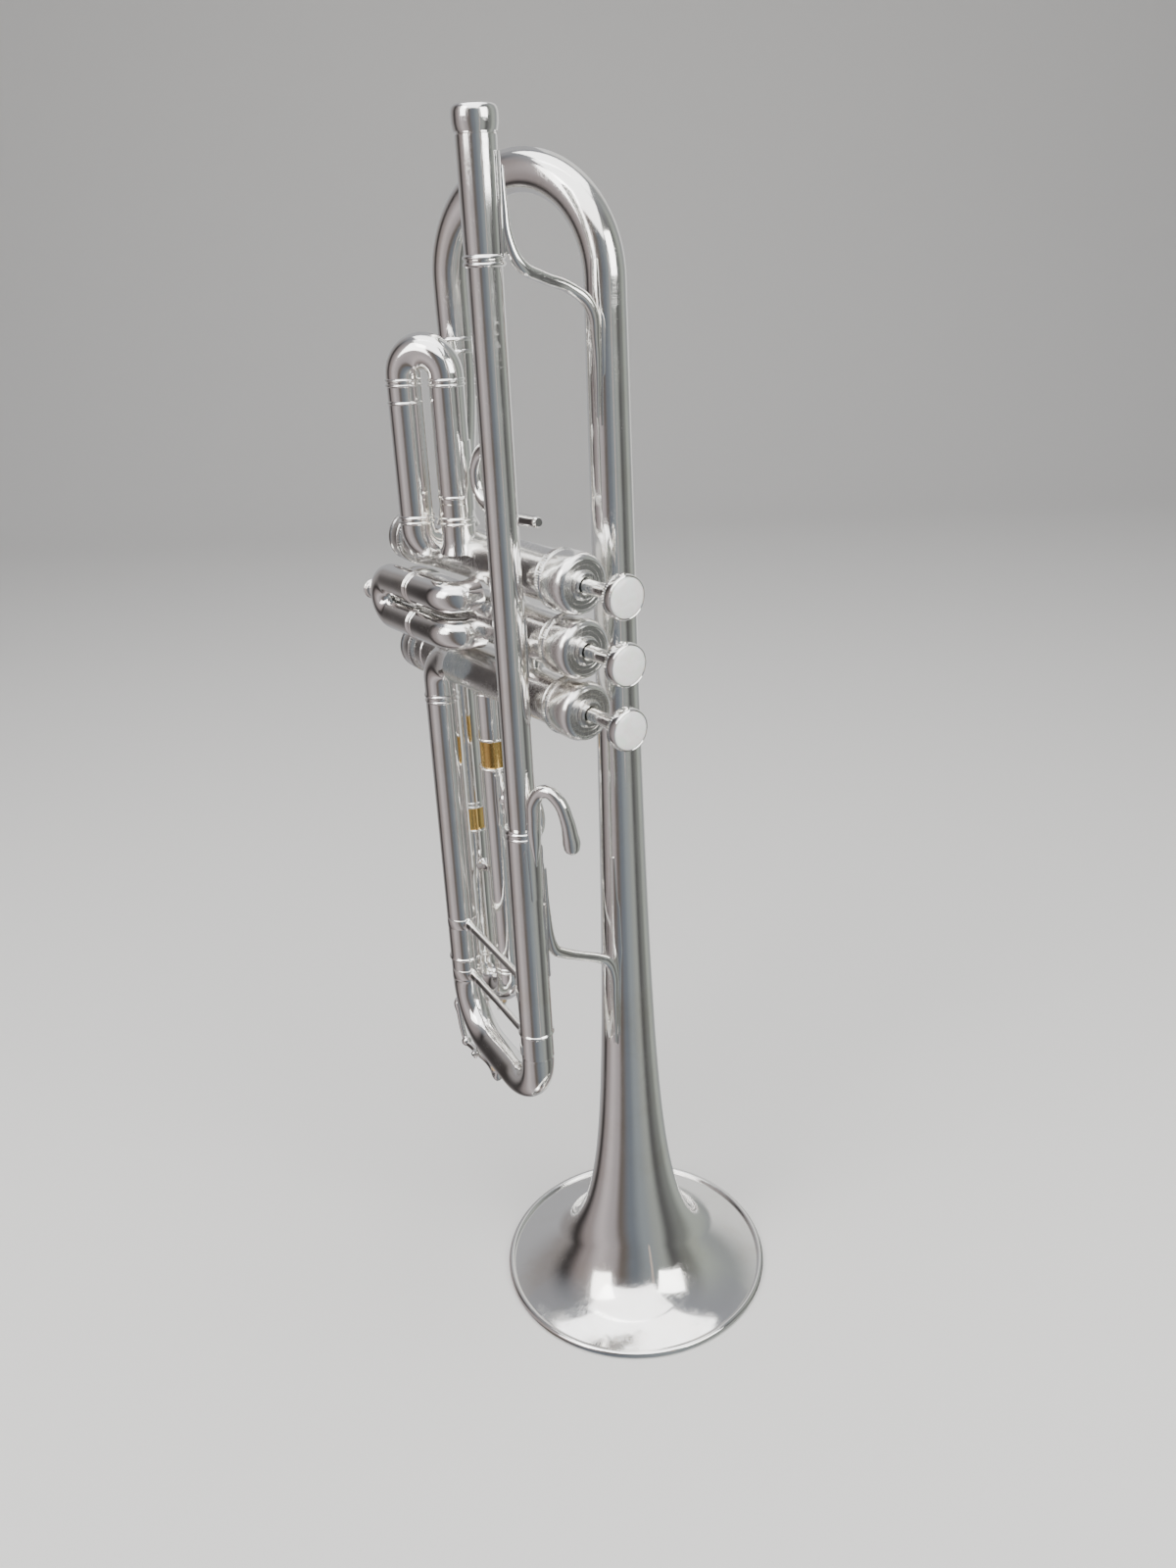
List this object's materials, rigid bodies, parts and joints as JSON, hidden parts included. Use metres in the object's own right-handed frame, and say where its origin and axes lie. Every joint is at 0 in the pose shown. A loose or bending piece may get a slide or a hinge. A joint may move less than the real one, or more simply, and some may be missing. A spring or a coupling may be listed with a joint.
{
  "type": "trumpet",
  "caption": "Silver-plated valve trumpet with leadpipe, tuning slides, spring-returned piston valves, pearl buttons and a flared bell, standing on its bell.",
  "frame": {"origin": "on the surface the bell rim rests on, below the middle of the whole trumpet's box", "axes": "+Z from the bell rim up to the mouthpiece receiver, +X towards the finger buttons, -Y on the leadpipe side"},
  "size_m": [0.1704, 0.123, 0.491],
  "materials": {
    "silver_plate": "brass, silver plated and polished to a mirror, with fine handling marks",
    "brass": "bare yellow brass, bright and wiped by the slide",
    "nickel_silver": "honed satin piston surface",
    "mother_of_pearl": "polished nacre with soft colour play",
    "felt": "pressed wool felt",
    "cork": "fine natural cork",
    "spring_steel": "drawn wire"
  },
  "bodies": {
    "horn": {"bell": "silver_plate", "bell_bow": "silver_plate", "bell_tail": "silver_plate", "tail_ferrule": "silver_plate", "mouthpiece_receiver": "silver_plate", "leadpipe": "silver_plate", "upper_slide_sleeve": "silver_plate", "lower_slide_sleeve": "silver_plate", "third_valve_elbow": "silver_plate", "tuning_slide_brace": "silver_plate", "receiver_brace": "silver_plate", "sleeve_brace": "silver_plate", "pinky_hook": "silver_plate", "valve_casing_1": "silver_plate", "valve_casing_2": "silver_plate", "valve_casing_3": "silver_plate", "casing_knuckle_1_2": "silver_plate", "casing_knuckle_2_3": "silver_plate", "top_cap_1": "silver_plate", "top_cap_2": "silver_plate", "top_cap_3": "silver_plate", "bottom_cap_1": "silver_plate", "bottom_cap_2": "silver_plate", "bottom_cap_3": "silver_plate", "first_slide_sleeve": "silver_plate", "first_slide_inner_tube": "silver_plate", "second_slide_sleeve_lower": "silver_plate", "second_slide_sleeve_upper": "silver_plate", "third_slide_sleeve": "silver_plate", "third_slide_inner_tube": "brass", "valve_spring_1": "spring_steel", "valve_spring_2": "spring_steel", "valve_spring_3": "spring_steel"},
    "valve_1": {"piston_1": "nickel_silver", "finger_button_1": "silver_plate", "pearl_1": "mother_of_pearl", "button_felt_1": "felt"},
    "valve_2": {"piston_2": "nickel_silver", "finger_button_2": "silver_plate", "pearl_2": "mother_of_pearl", "button_felt_2": "felt"},
    "valve_3": {"piston_3": "nickel_silver", "finger_button_3": "silver_plate", "pearl_3": "mother_of_pearl", "button_felt_3": "felt"},
    "main_slide": {"main_tuning_slide": "silver_plate", "main_slide_brace": "silver_plate", "main_key_post": "silver_plate"},
    "main_key": {"main_key_lever": "silver_plate", "main_key_cork": "cork"},
    "first_slide": {"first_valve_slide": "silver_plate", "thumb_saddle": "silver_plate"},
    "second_slide": {"second_valve_slide": "silver_plate", "second_slide_knob": "silver_plate"},
    "third_slide": {"third_valve_slide": "silver_plate", "third_slide_brace": "silver_plate", "finger_ring": "silver_plate", "third_key_post": "silver_plate"},
    "third_key": {"third_key_lever": "silver_plate", "third_key_cork": "cork"}
  },
  "joints": [
    {"name": "valve_1_press", "type": "slide", "parent": "horn", "child": "valve_1", "axis": [-1, 0, 0], "range_m": [0, 0.0152], "stiffness_N_per_m": 150, "springref_m": -0.01, "deforming": ["valve_spring_1"]},
    {"name": "valve_2_press", "type": "slide", "parent": "horn", "child": "valve_2", "axis": [-1, 0, 0], "range_m": [0, 0.0152], "stiffness_N_per_m": 150, "springref_m": -0.01, "deforming": ["valve_spring_2"]},
    {"name": "valve_3_press", "type": "slide", "parent": "horn", "child": "valve_3", "axis": [-1, 0, 0], "range_m": [0, 0.0152], "stiffness_N_per_m": 150, "springref_m": -0.01, "deforming": ["valve_spring_3"]},
    {"name": "main_slide_pull", "type": "slide", "parent": "horn", "child": "main_slide", "axis": [0, 0, -1], "range_m": [0, 0.03]},
    {"name": "first_slide_pull", "type": "slide", "parent": "horn", "child": "first_slide", "axis": [0, 0, 1], "range_m": [0, 0.018]},
    {"name": "second_slide_pull", "type": "slide", "parent": "horn", "child": "second_slide", "axis": [-1, 0, 0], "range_m": [0, 0.012]},
    {"name": "third_slide_pull", "type": "slide", "parent": "horn", "child": "third_slide", "axis": [0, 0, -1], "range_m": [-0.0105, 0.02]},
    {"name": "main_key_press", "type": "hinge", "parent": "main_slide", "child": "main_key", "pos_m": [-0.04225, -0.0385, 0.1], "axis": [0, 1, 0], "range_deg": [0, 8], "stiffness_Nm_per_rad": 0.05, "springref_deg": -17.19},
    {"name": "third_key_press", "type": "hinge", "parent": "third_slide", "child": "third_key", "pos_m": [-0.057, -0.02, 0.11595], "axis": [0, 1, 0], "range_deg": [0, 8], "stiffness_Nm_per_rad": 0.03, "springref_deg": -17.19}
  ]
}
